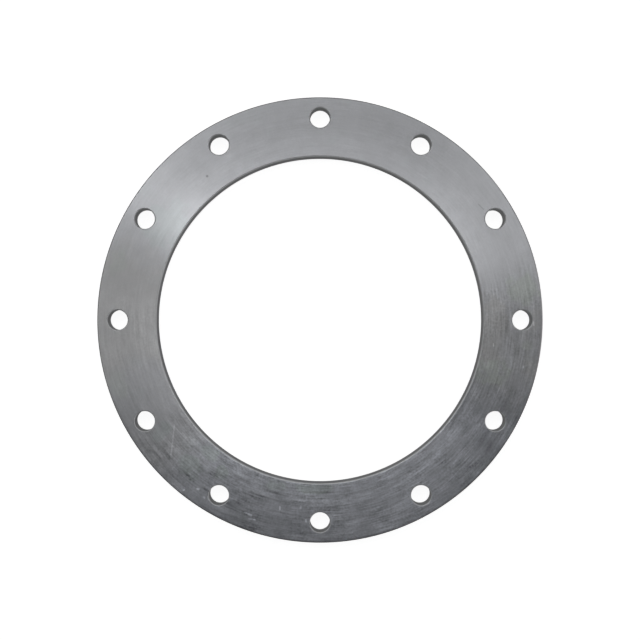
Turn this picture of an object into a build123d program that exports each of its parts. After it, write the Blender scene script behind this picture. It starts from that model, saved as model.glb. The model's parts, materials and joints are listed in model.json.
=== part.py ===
from build123d import *

import os

# A flat ring flange for a 350 mm pipe: one steel plate, turned, drilled and deburred.
# It lies flat with +Z up and its origin at the middle of its back face. The pipe comes
# into the bore from the back, and the front face is the one that meets its mate.
# All sizes are in millimetres.

# Driving dimensions
outer_diameter = 490.0
bore_diameter = 359.5  # lets a 355.6 mm pipe through
thickness = 26.0
bolt_circle = 445.0
bolt_count = 12
bolt_hole_diameter = 22.0  # clears an M20 bolt

# Broken edges: the leg of each 45 degree chamfer, the same at both faces
rim_chamfer = 1.0
bore_chamfer = 1.2
bolt_hole_chamfer = 1.0

# How far a drill runs past each face, so that the cut opens cleanly
drill_overrun = 1.0


def turned_ring():
    # The plate as it leaves the lathe: half its section, carried round the Z axis.
    outer = outer_diameter / 2
    bore = bore_diameter / 2
    outline = Polyline(
        (bore + bore_chamfer, 0),
        (outer - rim_chamfer, 0),
        (outer, rim_chamfer),
        (outer, thickness - rim_chamfer),
        (outer - rim_chamfer, thickness),
        (bore + bore_chamfer, thickness),
        (bore, thickness - bore_chamfer),
        (bore, bore_chamfer),
        close=True,
    )
    return revolve(Plane.XZ * make_face(outline), Axis.Z)


def bolt_hole():
    # What one drilled hole takes away: a cylinder that opens at 45 degrees at each face.
    radius = bolt_hole_diameter / 2
    mouth = radius + bolt_hole_chamfer + drill_overrun
    outline = Polyline(
        (0, -drill_overrun),
        (mouth, -drill_overrun),
        (radius, bolt_hole_chamfer),
        (radius, thickness - bolt_hole_chamfer),
        (mouth, thickness + drill_overrun),
        (0, thickness + drill_overrun),
        close=True,
    )
    return revolve(Plane.XZ * make_face(outline), Axis.Z)


def flange_ring():
    # The finished plate: the first bolt hole is on +X and the rest follow at equal angles.
    holes = PolarLocations(bolt_circle / 2, bolt_count) * bolt_hole()
    return turned_ring() - holes


os.makedirs("parts", exist_ok=True)
export_step(flange_ring(), "parts/flange_ring.step")
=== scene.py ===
import json
import math

import bpy
import numpy as np
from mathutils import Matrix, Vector


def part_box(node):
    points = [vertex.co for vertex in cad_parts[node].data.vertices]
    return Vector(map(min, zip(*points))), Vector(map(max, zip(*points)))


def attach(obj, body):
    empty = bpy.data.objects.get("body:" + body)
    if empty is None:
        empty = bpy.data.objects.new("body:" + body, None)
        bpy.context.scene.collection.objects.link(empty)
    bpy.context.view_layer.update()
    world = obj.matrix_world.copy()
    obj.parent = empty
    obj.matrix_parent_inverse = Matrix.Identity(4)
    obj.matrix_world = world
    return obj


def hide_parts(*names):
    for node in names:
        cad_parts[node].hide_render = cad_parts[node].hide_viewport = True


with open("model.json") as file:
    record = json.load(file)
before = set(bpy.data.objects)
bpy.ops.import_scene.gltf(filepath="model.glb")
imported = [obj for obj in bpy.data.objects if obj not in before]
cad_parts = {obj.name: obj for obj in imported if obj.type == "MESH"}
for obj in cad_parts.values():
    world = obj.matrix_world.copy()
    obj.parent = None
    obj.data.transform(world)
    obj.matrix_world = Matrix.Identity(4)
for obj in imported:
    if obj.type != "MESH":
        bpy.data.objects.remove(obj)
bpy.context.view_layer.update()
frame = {"nodes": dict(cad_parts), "record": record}
print("frame loaded, nodes:", sorted(frame["nodes"]))

# The ring's sizes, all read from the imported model
mounts = {mount["name"]: mount for mount in frame["record"]["mounts"]}
ringLow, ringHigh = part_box("flange_ring")
thickness = ringHigh.z - ringLow.z
rimRadius = ringHigh.x
boreRadius = mounts["pipe_bore"]["dims"]["r_mm"] / 1000
holeRadius = mounts["bolt_circle"]["dims"]["hole_r_mm"] / 1000
holeCount = mounts["bolt_circle"]["dims"]["count"]
circleRadius = mounts["bolt_circle"]["dims"]["pcd_mm"] / 2000


# ---- the ring's surface

ringForm = {
    # Each 45 degree edge break: its leg, and the radii where it meets the face and the wall
    "rimBreak": {"leg": 0.0010, "faceRound": 0.0006, "wallRound": 0.0003},
    "boreBreak": {"leg": 0.0012, "faceRound": 0.0005, "wallRound": 0.0003},
    "holeBreak": {"leg": 0.0010, "faceRound": 0.0004, "wallRound": 0.0003},
    "roundSteps": 4,         # facets in each of those corners
    "wallSteps": 4,          # facets down each straight wall
    "rimSteps": 48,          # facets along the rim in one bolt's sector
    "boreSteps": 40,
    "sideSteps": 12,
    "faceSteps": 8,          # facets from a bolt hole out to its sector's edge
    "faceCrowding": 1.4,     # above 1, those beside the hole are narrower
    "weldGrid": 1e-6,        # points closer than this are one point
    "weldShift": 0.37,       # in grid cells: keeps round numbers off the edges of the cells
}
faceSlot, wallSlot, drilledSlot, breakSlot = range(4)     # the order of the ring's materials


def edgeProfile(edge):
    # From the front face, over the break, down the wall and out to the back face.
    # inset = distance into the metal from the wall, depth = distance below the front face.
    # A corner is an arc: centre + radius * (-sin t, -cos t), with t turning 0 to 45 to 90 degrees.
    faceRound, wallRound = edge["faceRound"], edge["wallRound"]
    first = np.linspace(0, math.pi / 4, ringForm["roundSteps"] + 1)
    second = first + math.pi / 4
    top = edge["leg"] + wallRound * math.tan(math.pi / 8)
    inset = np.r_[flatReach(edge) - faceRound * np.sin(first), wallRound - wallRound * np.sin(second)]
    depth = np.r_[faceRound - faceRound * np.cos(first), top - wallRound * np.cos(second)]
    turn = np.r_[first, second]
    wall = np.linspace(0, 1, ringForm["wallSteps"] + 1)[1:-1]
    inset = np.r_[inset, 0 * wall, inset[::-1]]
    depth = np.r_[depth, top + wall * (thickness - 2 * top), thickness - depth[::-1]]
    turn = np.r_[turn, 0 * wall + math.pi / 2, math.pi - turn[::-1]]
    return inset, depth, turn


def flatReach(edge):
    # How far in from a wall the flat face begins: leg + faceRound * tan 22.5 degrees
    return edge["leg"] + edge["faceRound"] * math.tan(math.pi / 8)


def sectorLoops():
    # One bolt's share of the face, centred on +X: the outline of the share, and the angles round
    # the hole that go with it. The outline runs along the rim, in along one side, back along the
    # bore and out along the other side.
    half = math.pi / holeCount
    outer = rimRadius - flatReach(ringForm["rimBreak"])
    inner = boreRadius + flatReach(ringForm["boreBreak"])
    steps = [ringForm[name] for name in ("rimSteps", "sideSteps", "boreSteps", "sideSteps")]
    corners = np.cumsum([0] + steps)
    along = np.arange(corners[-1])
    angle = np.interp(along, corners, [-half, half, half, -half, -half])
    radius = np.interp(along, corners, [outer, outer, inner, inner, outer])
    rimCorner = math.atan2(outer * math.sin(half), outer * math.cos(half) - circleRadius)
    boreCorner = math.atan2(inner * math.sin(half), inner * math.cos(half) - circleRadius)
    turns = [-rimCorner, rimCorner, boreCorner, 2 * math.pi - boreCorner, 2 * math.pi - rimCorner]
    return radius * np.cos(angle), radius * np.sin(angle), np.interp(along, corners, turns)


def turned(points, angles):
    # Copies of the points, each turned about Z: (x cos a - y sin a, x sin a + y cos a, z)
    c, s = np.cos(angles), np.sin(angles)
    x, y, z = points[..., 0], points[..., 1], points[..., 2]
    spread = [angles.size] + [1] * x.ndim
    c, s = c.reshape(spread), s.reshape(spread)
    return np.stack([x * c - y * s, x * s + y * c, z + 0 * c], -1)


def gridFaces(rows, columns, copies):
    # Four corners of each cell in grids whose columns close on themselves, one grid after another
    row, column = np.meshgrid(np.arange(rows - 1), np.arange(columns), indexing="ij")
    after = (column + 1) % columns
    cell = np.stack([row * columns + column, row * columns + after,
                     (row + 1) * columns + after, (row + 1) * columns + column], -1).reshape(-1, 4)
    start = np.arange(copies)[:, None, None] * rows * columns
    return (cell[None] + start).reshape(-1, 4)


def facePatch(height, up):
    # The flat face between each hole and its share's outline: hole + (outline - hole) * t
    edgeX, edgeY, around = sectorLoops()
    radius = holeRadius + flatReach(ringForm["holeBreak"])
    holeX, holeY = circleRadius + radius * np.cos(around), radius * np.sin(around)
    t = np.linspace(0, 1, ringForm["faceSteps"] + 1)[:, None] ** ringForm["faceCrowding"]
    points = np.stack([holeX + (edgeX - holeX) * t, holeY + (edgeY - holeY) * t,
                       height + 0 * (holeX * t)], -1)
    places = np.arange(holeCount) * 2 * math.pi / holeCount
    normals = np.zeros_like(points)
    normals[..., 2] = up
    return turned(points, places), turned(normals, places), points.shape[:2], faceSlot


def wallPatch(radius, edge, inward, angles, centre, copies, wallMaterial):
    # A wall round an axis: its profile carried round a circle of the given radius.
    # inward is 1 where the metal lies outside the circle (a hole) and -1 where it lies inside.
    # The corner beside each face wears the face's finish, and the rest of the break its own.
    inset, depth, turn = edgeProfile(edge)
    reach = (radius + inward * inset)[:, None]
    points = np.stack([centre + reach * np.cos(angles), reach * np.sin(angles),
                       (thickness - depth)[:, None] + 0 * angles], -1)
    side = (-inward * np.sin(turn))[:, None]
    normals = np.stack([side * np.cos(angles), side * np.sin(angles),
                        np.cos(turn)[:, None] + 0 * angles], -1)
    places = np.arange(copies) * 2 * math.pi / copies
    row = np.arange(inset.size - 1)
    fromFace = np.minimum(row, row[::-1])
    steps = ringForm["roundSteps"]
    slots = np.where(fromFace <= 2 * steps, breakSlot, wallMaterial)
    slots = np.where(fromFace < steps, faceSlot, slots)
    return turned(points, places), turned(normals, places), points.shape[:2], slots


def ringPatches():
    # Both faces, the rim, the bore and the bolt holes
    half = math.pi / holeCount
    rimAngles = np.arange(holeCount * ringForm["rimSteps"]) * 2 * half / ringForm["rimSteps"] - half
    boreAngles = np.arange(holeCount * ringForm["boreSteps"]) * 2 * half / ringForm["boreSteps"] - half
    around = sectorLoops()[2]
    yield facePatch(thickness, 1)
    yield facePatch(0, -1)
    yield wallPatch(rimRadius, ringForm["rimBreak"], -1, rimAngles, 0, 1, wallSlot)
    yield wallPatch(boreRadius, ringForm["boreBreak"], 1, boreAngles, 0, 1, wallSlot)
    yield wallPatch(holeRadius, ringForm["holeBreak"], 1, around, circleRadius, holeCount, drilledSlot)


def buildRing():
    # Every patch in one closed mesh: points of neighbouring patches fall together and are welded
    points, normals, faces, slots, start = [], [], [], [], 0
    for patchPoints, patchNormals, (rows, columns), slot in ringPatches():
        copies = patchPoints.shape[0]
        cells = gridFaces(rows, columns, copies) + start
        rowSlot = np.broadcast_to(slot, rows - 1)
        points.append(patchPoints.reshape(-1, 3))
        normals.append(patchNormals.reshape(-1, 3))
        faces.append(cells)
        slots.append(np.tile(np.repeat(rowSlot, columns), copies))
        start += points[-1].shape[0]
    points, normals = np.concatenate(points), np.concatenate(normals)
    faces, slots = np.concatenate(faces), np.concatenate(slots)

    # Turn a face round where its corners run the wrong way for the surface's own normal
    corner = points[faces]
    facing = np.cross(corner[:, 2] - corner[:, 0], corner[:, 3] - corner[:, 1])
    wrong = (facing * normals[faces].sum(1)).sum(1) < 0
    faces[wrong] = faces[wrong][:, ::-1]

    key = np.floor(points / ringForm["weldGrid"] + ringForm["weldShift"]).astype(np.int64)
    first, same = np.unique(key, axis=0, return_index=True, return_inverse=True)[1:]
    points, normals, faces = points[first], normals[first], same.reshape(-1)[faces]

    mesh = bpy.data.meshes.new("flangeRing")
    mesh.from_pydata(points.tolist(), [], faces.tolist())
    mesh.polygons.foreach_set("material_index", slots.astype(np.int32))
    mesh.shade_smooth()
    mesh.normals_split_custom_set_from_vertices(normals.tolist())
    mesh.update()
    ring = bpy.data.objects.new("flangeRing", mesh)
    bpy.context.scene.collection.objects.link(ring)
    print("ring built:", len(points), "points,", len(faces), "faces")
    return ring


# ---- shader arithmetic

class Wire:
    # One output socket of a material. Arithmetic on wires adds the Math nodes it needs.
    def __init__(self, tree, socket=None):
        self.tree = tree
        self.socket = socket

    def node(self, kind, settings=None, inputs=None, output=0):
        # Adds a node: its settings first, then the values or wires of its sockets
        made = self.tree.nodes.new(kind)
        for name, value in (settings or {}).items():
            setattr(made, name, value)
        for name, value in (inputs or {}).items():
            if isinstance(value, Wire):
                self.tree.links.new(value.socket, made.inputs[name])
            else:
                made.inputs[name].default_value = value
        return Wire(self.tree, made.outputs[output] if len(made.outputs) else None)

    def math(self, operation, *values):
        return self.node("ShaderNodeMath", {"operation": operation}, dict(enumerate(values)))

    def __add__(self, other): return self.math("ADD", self, other)
    def __radd__(self, other): return self.math("ADD", other, self)
    def __sub__(self, other): return self.math("SUBTRACT", self, other)
    def __rsub__(self, other): return self.math("SUBTRACT", other, self)
    def __mul__(self, other): return self.math("MULTIPLY", self, other)
    def __rmul__(self, other): return self.math("MULTIPLY", other, self)
    def __truediv__(self, other): return self.math("DIVIDE", self, other)
    def __rtruediv__(self, other): return self.math("DIVIDE", other, self)
    def __pow__(self, other): return self.math("POWER", self, other)

    def step(self, low, high, fromValue=0.0, toValue=1.0):
        # A smooth step from fromValue at low to toValue at high, held flat beyond both
        return self.node("ShaderNodeMapRange", {"interpolation_type": "SMOOTHSTEP"},
                         {"Value": self, "From Min": low, "From Max": high,
                          "To Min": fromValue, "To Max": toValue})


def startMaterial(name):
    made = bpy.data.materials.new(name)
    made.use_nodes = True
    made.node_tree.nodes.clear()
    return made, Wire(made.node_tree)


def finishMaterial(made, pen, shader):
    pen.node("ShaderNodeOutputMaterial", inputs={"Surface": shader})
    return made


def objectPlace(pen):
    # x, y, z in the ring's own frame, and the distance from its axis
    place = pen.node("ShaderNodeTexCoord", output="Object")
    x, y, z = (place.node("ShaderNodeSeparateXYZ", inputs={0: place}, output=i) for i in range(3))
    return place, x, y, z, (x * x + y * y) ** 0.5


def vector(x, y, z):
    return x.node("ShaderNodeCombineXYZ", inputs={"X": x, "Y": y, "Z": z})


def noise(place, scale, detail, rough, seed):
    # Soft random values about 0.5
    return place.node("ShaderNodeTexNoise", {"noise_dimensions": "4D"},
                      {"Vector": place, "W": seed, "Scale": scale, "Detail": detail, "Roughness": rough})


def colourMix(amount, first, second):
    # first where amount is 0, second where it is 1. Sockets 6 and 7 are the node's two colours.
    return amount.node("ShaderNodeMix", {"data_type": "RGBA"},
                       {0: amount, 6: opaque(first), 7: opaque(second)}, output=2)


def scaled(pen, colour, amount):
    # Every part of the colour or vector times the amount
    return pen.node("ShaderNodeVectorMath", {"operation": "SCALE"}, {0: colour, "Scale": amount})


def opaque(colour):
    # A bare colour gets its alpha, a wire is passed on
    return colour if isinstance(colour, Wire) else (*colour, 1.0)


def grey(value):
    return (value, value, value, 1.0)


def largest(*wires):
    found = wires[0]
    for wire in wires[1:]:
        found = found.math("MAXIMUM", found, wire)
    return found


# ---- the turned faces

faceFinish = {
    "neutral": (0.564, 0.566, 0.572),   # bare turned steel
    "cool": (0.549, 0.566, 0.612),      # the same metal under a thin bluish film
    "bloom": (0.505, 0.545, 0.552),     # blue-green patches of that film,
    "bloomPale": (0.532, 0.566, 0.545), # greener where there is little of it
    "coolBase": 0.45,                   # share of the bluish film everywhere,
    "coolMore": 0.55,                   # more of it on the cool side,
    "warmLess": 0.9,                    # and less on the warm stretches
    "paintedBoreSheen": 1.14,                   # painted reflection fall-off: lighter beside the bore, darker out to the rim
    "paintedRimShade": 0.865,
    "toneSpread": (-0.20, 0.75),        # share of the way out over which it darkens
    "darkRimTone": (1.11, 0.80),        # painted shade: one stretch darkens further: at the bore and at the rim
    "darkRimRight": 0.20,               # painted shade: another one darkens towards the rim only
    "paleRim": 0.12,                    # painted light: two stretches are lighter there
    "rimLine": 0.22,                    # painted shade: the last strip beside the lower rim is darker:
    "rimLineBand": (0.0036, 0.0016),    # how far from the rim it begins, and is full
    "rubbedLines": (0.62, 1.22),        # patches where the lines are fainter and stronger
    "rubbedSpread": (0.36, 0.62),
    "cloudWeight": 0.42,                # how much the cloud and the grain count among the lines,
    "grainWeight": 0.88,
    "cloudySide": 0.55,                 # and more of the cloud in one stretch
    "mottleTone": 0.15,
    "cleanDepth": 0.16,                 # how much the lines lighten and darken clean metal,
    "handledDepth": 0.31,               # handled metal
    "stainDepth": 0.91,                 # and stained metal,
    "lightStain": 0.30,                 # less where it is lightly stained
    "dabs": (0.66, 0.76, 0.18),         # pale dabs of the stain: low and high step, how much lighter
    "flecks": (0.68, 0.76, 0.16),
    "markEdge": (0.3, 1.4),             # a mark is full and gone at these shares of its half width
    "filmPatches": (0.57, 0.66, 0.2),   # faint film everywhere: low and high step, strength
    "bloomEdge": (0.3, 1.3),            # a bloom is full and gone at these squared gaps
    "bloomRagged": 4.5,
    "bloomTone": 0.05,                  # how much lighter the blooms are
    "shadeRagged": 0.15,
    "raggedReach": 0.35,                # how far the ragged edges wander, as a cosine
    "boreRoughness": 0.300,
    "rimRoughness": 0.330,
    "lineRoughness": 0.04,
    "anisotropy": 0.90,
    "turnedWay": 0.25,                  # turns the gloss across the lines
    "grooveHeight": 0.000010,
    "backPattern": 300.0,               # the pattern changes this much per metre of height
}

# Lines drawn out round the axis: cells round the ring / 2 pi, cells per metre of radius, the
# noise's detail and roughness, its seed, and how much the lines count
faceLines = {
    "streaks": (15.0, 650.0, 3.0, 0.55, 0.4, 1.15),
    "strands": (5.0, 470.0, 2.0, 0.5, 2.6, 0.80),
    "bands": (2.0, 210.0, 3.0, 0.6, 7.7, 0.75),
    "smears": (7.0, 120.0, 3.0, 0.6, 19.5, 0.65),
}

# Patterns with no direction: cells per metre, the noise's detail and roughness, and its seed
facePatterns = {
    "ragged": (16.0, 4.0, 0.6, 3.1),    # wanders the edges of the stretches
    "cloud": (85.0, 4.0, 0.6, 5.2),
    "grain": (430.0, 2.0, 0.5, 21.2),
    "rubbed": (42.0, 3.0, 0.6, 31.0),
    "mottle": (70.0, 1.0, 0.5, 27.0),
    "dabs": (190.0, 2.0, 0.5, 13.0),
    "flecks": (520.0, 2.0, 0.5, 14.5),
    "bloomEdge": (80.0, 4.0, 0.6, 16.0),
    "film": (34.0, 4.0, 0.6, 9.4),
}

# Stretches of the face: bearing of the middle clockwise from +Y, degrees either side, the degrees
# over which it fades, and how ragged its ends are
faceStretches = {
    "stained": (158, 90, 22, 1.0),
    "handled": (254, 36, 26, 1.0),
    # darkRim and darkRimRight carry painted shade, paleRimLeft and paleRimRight painted light
    "darkRim": (212, 44, 26, 0.5),
    "darkRimRight": (138, 20, 14, 0.5),
    "paleRimLeft": (282, 16, 12, 0.0),
    "paleRimRight": (88, 26, 13, 0.0),
    "cloudy": (203, 48, 26, 1.0),
    "lightlyStained": (98, 27, 14, 1.0),
    "coolSide": (168, 66, 20, 1.0),
    "warmLeft": (272, 22, 12, 0.5),
    "warmRight": (95, 11, 9, 0.5),
    # painted shade along the lower rim, then a painted highlight on the rim's right side
    "paintedShadeRim": (180, 76, 16, 0.2),
    "brightRim": (90, 17, 15, 0.0),
}

# Painted shade and painted highlight on the face by bearing, the fan a painted highlight: middle bearing,
# degrees out to nothing, and how much lighter
paintedShades = {
    "right": (87, 16, -0.10),
    "lowRight": (119, 14, -0.26),
    "bottomRight": (149, 11, 0.07),
    "bottomLeft": (223, 10, 0.07),
    "lowLeft": (246, 16, -0.08),
    "left": (268, 14, 0.05),
    "upperLeft": (286, 11, -0.05),
    "fan": (303, 15, 0.05),
    "beyondFan": (325, 17, 0.04),
}

# Marks on the front face: (x, y) of both ends, half width, and how much each lightens the metal
faceMarks = {
    "longScratch": ((-0.1600, -0.1155), (-0.1638, -0.1480), 0.00090, 0.26),
    "crossScratch": ((-0.1588, -0.1185), (-0.1480, -0.1300), 0.00075, 0.15),
    "shortScratch": ((0.1743, 0.1271), (0.1798, 0.1216), 0.00070, -0.22),
    "pit": ((-0.1241, 0.1582), (-0.1241, 0.1582), 0.00150, -0.45),
    "tickLow": ((-0.0440, -0.2052), (-0.0440, -0.2080), 0.00095, 0.60),
    "tickMiddle": ((-0.0211, -0.2050), (-0.0213, -0.2068), 0.00140, 0.36),
    "tickByHole": ((-0.0154, -0.2200), (-0.0154, -0.2216), 0.00110, 0.80),
    "dentLeft": ((-0.0824, -0.2115), (-0.0808, -0.2122), 0.00120, 0.90),
    "dentRight": ((-0.0786, -0.2134), (-0.0760, -0.2148), 0.00150, 0.95),
    "dentLow": ((-0.0787, -0.2186), (-0.0706, -0.2197), 0.00070, 0.45),
    "dentLowEnd": ((-0.0728, -0.2195), (-0.0716, -0.2197), 0.00080, 0.60),
    "chipOne": ((-0.1349, -0.1855), (-0.1333, -0.1860), 0.00130, 0.80),
    "chipTwo": ((-0.1491, -0.1867), (-0.1502, -0.1872), 0.00100, 0.60),
    "chipThree": ((-0.1276, -0.1948), (-0.1272, -0.1953), 0.00130, 0.50),
    "chipByHole": ((-0.1227, -0.1938), (-0.1222, -0.1972), 0.00120, 0.70),
    "rightTick": ((0.1906, -0.0262), (0.1908, -0.0286), 0.00080, 0.50),
    "rightStroke": ((0.2102, -0.0410), (0.2096, -0.0535), 0.00130, 0.22),
    "rightSpeck": ((0.2236, -0.0512), (0.2236, -0.0522), 0.00100, 0.60),
    "rightDab": ((0.1835, -0.0490), (0.1870, -0.0500), 0.00450, 0.13),
    "rightDabLow": ((0.1740, -0.0430), (0.1748, -0.0475), 0.00450, 0.11),
    # a painted highlight on the outer edge of the right bolt hole
    "holeGlint": ((0.2345, -0.0020), (0.2349, -0.0056), 0.00100, 0.55),
}

# Blooms of the film: bearing of the middle, its radius, reach round the ring, reach across it,
# strength and colour
faceBlooms = {
    "rightRim": (81.5, 0.2250, 0.0170, 0.0170, 0.80, "bloomPale"),
    "rightBore": (107.0, 0.1950, 0.0150, 0.0210, 0.80, "bloomPale"),
    "rightSpot": (97.0, 0.2290, 0.0050, 0.0060, 0.50, "bloomPale"),
    "sideRim": (252.0, 0.2330, 0.0150, 0.0120, 0.45, "bloomPale"),
    "brightRim": (286.0, 0.2320, 0.0140, 0.0100, 0.45, "bloomPale"),
    "lowBore": (182.0, 0.1860, 0.0220, 0.0060, 0.85, "bloom"),
    "lowBoreLeft": (195.0, 0.1880, 0.0100, 0.0070, 0.75, "bloom"),
    "leftMiddle": (213.0, 0.2000, 0.0080, 0.0080, 0.85, "bloom"),
    "leftRim": (221.5, 0.2160, 0.0160, 0.0130, 0.90, "bloom"),
    "leftBore": (220.0, 0.1900, 0.0120, 0.0090, 0.80, "bloom"),
    "leftHigh": (235.0, 0.2130, 0.0090, 0.0120, 0.65, "bloom"),
    "bright": (302.0, 0.1960, 0.0280, 0.0260, 0.55, "bloom"),
}


def pattern(place, side, name):
    # One of the named patterns: noise of cells * (x, y, z)
    cells, detail, rough, seed = facePatterns[name]
    return noise(place, cells, detail, rough, side + seed)


def lanes(u, v, radius, side, name):
    # Noise drawn out round the axis: (turns * x / radius, turns * y / radius, density * radius)
    turns, density, detail, rough, seed = faceLines[name][:5]
    return noise(vector(u * turns, v * turns, radius * density), 1.0, detail, rough, side + seed) - 0.5


def markMask(place, start, end, halfWidth, height):
    # 1 on the line between two points, falling smoothly to 0 at its width:
    # distance from p to start + (end - start) * t, where t is how far along p lies, kept in 0 to 1
    start, end = Vector((*start, height)), Vector((*end, height))
    run = end - start
    if run.length_squared == 0:
        gap = place.node("ShaderNodeVectorMath", {"operation": "DISTANCE"}, {0: place, 1: start}, output=1)
    else:
        offset = place.node("ShaderNodeVectorMath", {"operation": "SUBTRACT"}, {0: place, 1: start})
        share = place.node("ShaderNodeVectorMath", {"operation": "DOT_PRODUCT"},
                           {0: offset, 1: run / run.length_squared}, output=1)
        along = place.node("ShaderNodeClamp", inputs={0: share})
        foot = scaled(place, run, along)
        gap = place.node("ShaderNodeVectorMath", {"operation": "DISTANCE"}, {0: offset, 1: foot}, output=1)
    full, gone = faceFinish["markEdge"]
    return gap.step(full * halfWidth, gone * halfWidth, 1.0, 0.0)


def bearingMask(u, v, ragged, middle, reach, fade):
    # 1 within reach of the middle bearing, 0 outside: the cosine of the angle from it, stepped
    middle, reach, fade = math.radians(middle), math.radians(reach), math.radians(fade)
    facing = u * math.sin(middle) + v * math.cos(middle) + ragged
    return facing.step(math.cos(reach), math.cos(reach - fade))


def stretch(u, v, ragged, name):
    # 1 within one of the named stretches, 0 outside
    middle, reach, fade, raggedShare = faceStretches[name]
    return bearingMask(u, v, ragged * raggedShare, middle, reach, fade)


def ovalGap(u, v, radius, middle, where, reachRound, reachAcross):
    # Squared distance from an oval's middle, 1 on its edge:
    # 2 (1 - cos angle) (where / reachRound)^2 + ((radius - where) / reachAcross)^2
    middle = math.radians(middle)
    facing = u * math.sin(middle) + v * math.cos(middle)
    across = (radius - where) / reachAcross
    return (1.0 - facing) * (2 * (where / reachRound) ** 2) + across * across


def faceSpots(place, side, stained):
    # How much lighter the small things on the face are: dabs and flecks of the stain, and the marks, one
    # of them a painted highlight
    marks = 0.0
    for name in ("dabs", "flecks"):
        low, high, lift = faceFinish[name]
        marks = pattern(place, side, name).step(low, high) * stained * lift + marks
    for start, end, halfWidth, lift in faceMarks.values():
        marks = marks + markMask(place, start, end, halfWidth, thickness) * lift
    return marks


def paintedFaceShading(u, v, radius, ragged):
    # Painted light and shade: across the ring, towards the rim in some stretches, and by bearing
    f = faceFinish
    across = (radius - boreRadius) / (rimRadius - boreRadius)
    outward = across.step(*f["toneSpread"])
    tone = outward * (f["paintedRimShade"] - f["paintedBoreSheen"]) + f["paintedBoreSheen"]
    boreDark, rimDark = f["darkRimTone"]
    darker = across * (rimDark - boreDark) + (boreDark - 1.0)
    tone = tone * (1.0 + darker * stretch(u, v, ragged, "darkRim"))
    tone = tone * (1.0 - f["darkRimRight"] * stretch(u, v, ragged, "darkRimRight") * across)
    # painted light towards the rim in two stretches
    paleRim = stretch(u, v, ragged, "paleRimLeft") + stretch(u, v, ragged, "paleRimRight")
    tone = tone * (1.0 + f["paleRim"] * paleRim * outward)
    # painted shade along the lower rim
    begins, full = f["rimLineBand"]
    rimLine = radius.step(rimRadius - begins, rimRadius - full) * stretch(u, v, ragged, "paintedShadeRim")
    tone = tone * (1.0 - f["rimLine"] * rimLine)
    # painted shade and painted highlight by bearing
    for middle, reach, lift in paintedShades.values():
        tone = tone * (1.0 + lift * bearingMask(u, v, ragged * f["shadeRagged"], middle, reach, reach))
    return tone, outward


def faceFilm(place, side, u, v, radius):
    # How much of each colour of film there is: faint patches everywhere, and the placed blooms
    low, high, strength = faceFinish["filmPatches"]
    film = {"bloom": [pattern(place, side, "film").step(low, high) * strength], "bloomPale": []}
    edge = (pattern(place, side, "bloomEdge") - 0.5) * faceFinish["bloomRagged"]
    full, gone = faceFinish["bloomEdge"]
    for middle, where, reachRound, reachAcross, strength, kind in faceBlooms.values():
        oval = ovalGap(u, v, radius, middle, where, reachRound, reachAcross) + edge
        film[kind].append(oval.step(full, gone, strength, 0.0))
    return {kind: largest(*amounts) for kind, amounts in film.items()}


def faceSteel():
    # Turned steel: fine lines round the axis over painted light and shade, with marks and films of colour
    made, pen = startMaterial("turnedFace")
    place, x, y, z, radius = objectPlace(pen)
    f = faceFinish
    u, v = x / radius, y / radius
    side = z * f["backPattern"]         # the back face has its own pattern
    ragged = (pattern(place, side, "ragged") - 0.5) * f["raggedReach"]
    stained = stretch(u, v, ragged, "stained")

    drawn = {name: lanes(u, v, radius, side, name) for name in faceLines}
    cloud = pattern(place, side, "cloud") - 0.5
    grain = pattern(place, side, "grain") - 0.5
    lines = cloud * f["cloudWeight"] + grain * f["grainWeight"]
    for name, wire in drawn.items():
        lines = wire * faceLines[name][5] + lines
    rubbed = pattern(place, side, "rubbed").step(*f["rubbedSpread"], *f["rubbedLines"])
    lines = lines * rubbed + cloud * f["cloudySide"] * stretch(u, v, ragged, "cloudy")
    depth = stained.step(0.0, 1.0, f["cleanDepth"], f["stainDepth"])
    depth = depth * (1.0 - f["lightStain"] * stretch(u, v, ragged, "lightlyStained"))
    depth = largest(depth, stretch(u, v, ragged, "handled") * f["handledDepth"])

    tone, outward = paintedFaceShading(u, v, radius, ragged)
    mottle = pattern(place, side, "mottle") - 0.5
    tone = tone * (1.0 + lines * depth) * (1.0 + mottle * f["mottleTone"])
    tone = tone * (1.0 + faceSpots(place, side, stained))

    warm = stretch(u, v, ragged, "warmLeft") + stretch(u, v, ragged, "warmRight")
    cool = f["coolBase"] + f["coolMore"] * stretch(u, v, ragged, "coolSide")
    colour = colourMix(cool * (1.0 - f["warmLess"] * warm), f["neutral"], f["cool"])
    for kind, amount in faceFilm(place, side, u, v, radius).items():
        colour = colourMix(amount, colour, f[kind])
        tone = tone * (1.0 + f["bloomTone"] * amount)

    roughness = outward.step(0.0, 1.0, f["boreRoughness"], f["rimRoughness"])
    bump = pen.node("ShaderNodeBump", inputs={
        "Strength": 1.0, "Distance": f["grooveHeight"], "Height": drawn["streaks"] + drawn["strands"]})
    shader = pen.node("ShaderNodeBsdfPrincipled", inputs={
        "Base Color": scaled(pen, colour, tone), "Metallic": 1.0, "Normal": bump,
        "Roughness": roughness + lines * depth * f["lineRoughness"],
        "Anisotropic": f["anisotropy"], "Anisotropic Rotation": f["turnedWay"]})
    return finishMaterial(made, pen, shader)


# ---- the walls and the broken edges

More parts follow.
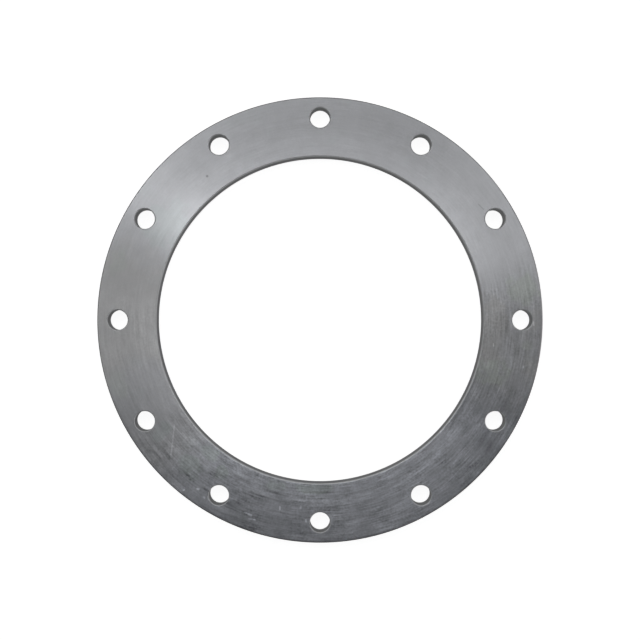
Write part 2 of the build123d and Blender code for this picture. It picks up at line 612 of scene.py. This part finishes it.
wallFinish = {
    "metal": (0.53, 0.535, 0.545),
    "grazing": (0.64, 0.64, 0.64),      # reflectance at a glancing angle
    "roughness": 0.40,
    "anisotropy": 0.6,
    "rings": 1500.0,                    # tool lines per metre of height
    "ringDepth": 0.32,
    "cloud": 60.0,                      # cells per metre
    "cloudDepth": 0.20,
    "grooveHeight": 0.000008,
}
drilledFinish = {
    "metal": (0.60, 0.605, 0.61),
    "grazing": (0.72, 0.72, 0.72),
    "roughness": 0.44,
    "anisotropy": 0.5,
    "rings": 2100.0,
    "ringDepth": 0.30,
    "cloud": 150.0,
    "cloudDepth": 0.20,
    "grooveHeight": 0.000010,
}
toolLines = {
    "cellsRound": 26.0,                 # per metre: each line varies this slowly along its way
    "ringRoughness": 0.06,              # how much the lines and the cloud change the gloss
    "cloudRoughness": 0.12,
    "turnedWay": 0.25,                  # turns the gloss across the lines
    "ringNoise": (3.0, 0.6, 1.3),       # the noise's detail and roughness, and its seed
    "cloudNoise": (4.0, 0.6, 4.4),
}
breakFinish = {
    "inner": (0.74, 0.75, 0.76),        # worn bright at the bore and the bolt holes
    "outer": (0.20, 0.203, 0.206),      # painted shade: darker along the rim,
    "outerPaintedShade": (0.06, 0.061, 0.062), # painted shade: darkest along its lower half
    "outerPaintedHighlight": (0.75, 0.75, 0.76),  # painted highlight: bright again on one side
    "rimBand": (0.004, 0.002),          # distances from the rim between which inner gives way to outer
    "roughness": 0.34,
    "chatter": 240.0,                   # cells per metre
    "chatterDepth": 0.22,
    "chatterRoughness": 0.15,
    "chatterNoise": (3.0, 0.6, 2.9),
}


def wallSteel(name, finish):
    # Tool lines run round the wall: noise of (x, y, rings * z)
    made, pen = startMaterial(name)
    place, x, y, z, _ = objectPlace(pen)
    slow = toolLines["cellsRound"]
    rings = noise(vector(x * slow, y * slow, z * finish["rings"]), 1.0, *toolLines["ringNoise"]) - 0.5
    cloud = noise(place, finish["cloud"], *toolLines["cloudNoise"]) - 0.5
    tone = 1.0 + rings * (2 * finish["ringDepth"]) + cloud * (2 * finish["cloudDepth"])
    gloss = finish["roughness"] + cloud * toolLines["cloudRoughness"] + rings * toolLines["ringRoughness"]
    bump = pen.node("ShaderNodeBump", inputs={
        "Strength": 1.0, "Distance": finish["grooveHeight"], "Height": rings})
    shader = pen.node("ShaderNodeBsdfPrincipled", inputs={
        "Base Color": scaled(pen, finish["metal"], tone), "Metallic": 1.0, "Roughness": gloss,
        "Normal": bump, "Specular Tint": opaque(finish["grazing"]),
        "Anisotropic": finish["anisotropy"], "Anisotropic Rotation": toolLines["turnedWay"]})
    return finishMaterial(made, pen, shader)


def breakSteel():
    # Bright where hands and bolts rub, with painted shade along the rim and a painted highlight on one
    # side of it, and fine chatter
    made, pen = startMaterial("brokenEdge")
    place, x, y, _, radius = objectPlace(pen)
    f = breakFinish
    u, v = x / radius, y / radius
    begins, full = f["rimBand"]
    rim = radius.step(rimRadius - begins, rimRadius - full)
    # painted shade on the rim's break, darkest on its lower half, and a painted highlight on its right
    # side
    outer = colourMix(stretch(u, v, 0.0, "paintedShadeRim"), f["outer"], f["outerPaintedShade"])
    outer = colourMix(stretch(u, v, 0.0, "brightRim"), outer, f["outerPaintedHighlight"])
    colour = colourMix(rim, f["inner"], outer)
    chatter = noise(place, f["chatter"], *f["chatterNoise"]) - 0.5
    tone = 1.0 + chatter * (2 * f["chatterDepth"])
    shader = pen.node("ShaderNodeBsdfPrincipled", inputs={
        "Base Color": scaled(pen, colour, tone), "Metallic": 1.0,
        "Roughness": f["roughness"] + chatter * f["chatterRoughness"]})
    return finishMaterial(made, pen, shader)


flangeRing = buildRing()
for material in (faceSteel(), wallSteel("turnedWall", wallFinish),
                 wallSteel("drilledWall", drilledFinish), breakSteel()):
    flangeRing.data.materials.append(material)
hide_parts("flange_ring")
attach(flangeRing, "root")
print("ring finished")


# ---- the studio

studio = {
    "floorReach": 8.0,       # half the backdrop's side
    "floorFlat": 4.0,        # it is level out to here, then sweeps up
    "floorSweep": 0.25,
    "floorPoints": 81,       # along each side
    "floorGlow": 0.92,       # light that the floor gives itself
    "floorPaint": 0.30,
    "lightReach": 2.0,       # distance from the ring's centre to each lamp
}
# name: bearing clockwise from +Y, height above the floor in degrees, width, length, watts
lamps = {
    "keyLeft": (306, 62, 0.20, 0.9, 1.02),
    "broadRight": (42, 62, 1.60, 0.9, 4.9),
    "broadLeft": (294, 62, 2.40, 0.9, 5.3),
    "topLeft": (336, 62, 1.00, 0.9, 2.1),
    "stripRight": (54, 62, 0.50, 0.9, 0.70),
    "lowLeft": (216, 62, 0.20, 0.9, 0.12),
}
room = {
    "zenith": 0.16,          # glow of the room overhead, level with the ring, and below it
    "level": 0.42,
    "nadir": 0.18,
    "windowBearing": 34.0,   # the brighter side of the room, clockwise from +Y
    "windowGlow": 0.08,
    "farShade": 0.16,        # and the duller side across from it
    "windowSpread": (-0.55, 0.0),
    # Heights, as z of the way looked, between which the room changes
    "ground": (-0.6, -0.05),
    "windowFoot": (-0.15, 0.05),
    "overhead": (0.10, 0.60),
}


def buildFloor():
    # A square sheet, level in the middle and sweeping up far out: z = sweep * max(0, r - flat)^2
    line = np.linspace(-studio["floorReach"], studio["floorReach"], studio["floorPoints"])
    x, y = np.meshgrid(line, line, indexing="ij")
    z = studio["floorSweep"] * np.maximum(0, np.hypot(x, y) - studio["floorFlat"]) ** 2
    n = line.size
    row, column = np.meshgrid(np.arange(n - 1), np.arange(n - 1), indexing="ij")
    corner = (row * n + column).reshape(-1)
    points = np.stack([x, y, z], -1).reshape(-1, 3)
    faces = np.stack([corner, corner + n, corner + n + 1, corner + 1], -1)
    mesh = bpy.data.meshes.new("floor")
    mesh.from_pydata(points.tolist(), [], faces.tolist())
    mesh.shade_smooth()
    floor = bpy.data.objects.new("floor", mesh)
    bpy.context.scene.collection.objects.link(floor)
    made, pen = startMaterial("floorSheet")
    paint = pen.node("ShaderNodeBsdfDiffuse", inputs={"Color": grey(studio["floorPaint"])})
    glow = pen.node("ShaderNodeEmission", inputs={"Color": grey(1), "Strength": studio["floorGlow"]})
    sheet = pen.node("ShaderNodeAddShader", inputs={0: paint, 1: glow})
    clear = pen.node("ShaderNodeBsdfTransparent")
    under = pen.node("ShaderNodeNewGeometry", output="Backfacing")     # from below it hides nothing
    oneSided = pen.node("ShaderNodeMixShader", inputs={0: under, 1: sheet, 2: clear})
    mesh.materials.append(finishMaterial(made, pen, oneSided))
    # The sheet is a backdrop only: the metal mirrors the room and not the sheet
    floor.visible_glossy = False
    floor.visible_diffuse = False
    floor.visible_shadow = False


def placeLamp(name, bearing, height, width, length, watts):
    # A soft box that faces the ring's centre, its length up and down the slope
    a, e = math.radians(bearing), math.radians(height)
    reach = studio["lightReach"]
    spot = Vector((math.sin(a) * math.cos(e), math.cos(a) * math.cos(e), math.sin(e))) * reach
    data = bpy.data.lights.new(name, "AREA")
    data.shape = "RECTANGLE"
    data.size, data.size_y = width, length
    data.energy = watts
    lamp = bpy.data.objects.new(name, data)
    bpy.context.scene.collection.objects.link(lamp)
    lamp.location = spot
    lamp.rotation_euler = (-spot).to_track_quat("-Z", "Y").to_euler()
    lamp.visible_camera = False


def buildWorld():
    # Glow by height: nadir below, level at the horizon, zenith above, and a brighter side
    world = bpy.data.worlds.new("room")
    bpy.context.scene.world = world
    world.use_nodes = True
    world.node_tree.nodes.clear()
    pen = Wire(world.node_tree)
    way = pen.node("ShaderNodeTexCoord", output="Generated")
    x, y, z = (way.node("ShaderNodeSeparateXYZ", inputs={0: way}, output=i) for i in range(3))
    bearing = math.radians(room["windowBearing"])
    toWindow = x * math.sin(bearing) + y * math.cos(bearing)
    band = z.step(*room["windowFoot"]) * z.step(*room["overhead"], 1.0, 0.0)
    tone = z.step(*room["ground"], room["nadir"], room["level"])
    tone = tone + z.step(*room["overhead"], 0.0, room["zenith"] - room["level"])
    tone = tone + toWindow.step(*room["windowSpread"], -room["farShade"], room["windowGlow"]) * band
    glow = pen.node("ShaderNodeBackground", inputs={"Color": grey(1), "Strength": tone})
    pen.node("ShaderNodeOutputWorld", inputs={"Surface": glow})


cameraView = {
    "height": 1.598,         # above the front face, straight over the axis
    "span": 0.7036,          # width of the front face's plane that fills the picture
    "sensor": 36.0,
}


def placeCamera():
    data = bpy.data.cameras.new("camera")
    data.sensor_width = cameraView["sensor"]
    data.lens = cameraView["sensor"] * cameraView["height"] / cameraView["span"]
    camera = bpy.data.objects.new("camera", data)
    bpy.context.scene.collection.objects.link(camera)
    camera.location = (0, 0, thickness + cameraView["height"])
    camera.rotation_euler = (0, 0, 0)
    bpy.context.scene.camera = camera


buildFloor()
for name, lamp in lamps.items():
    placeLamp(name, *lamp)
buildWorld()
placeCamera()
bpy.context.scene.view_settings.view_transform = "Standard"
print("studio set,", len(lamps), "lamps")
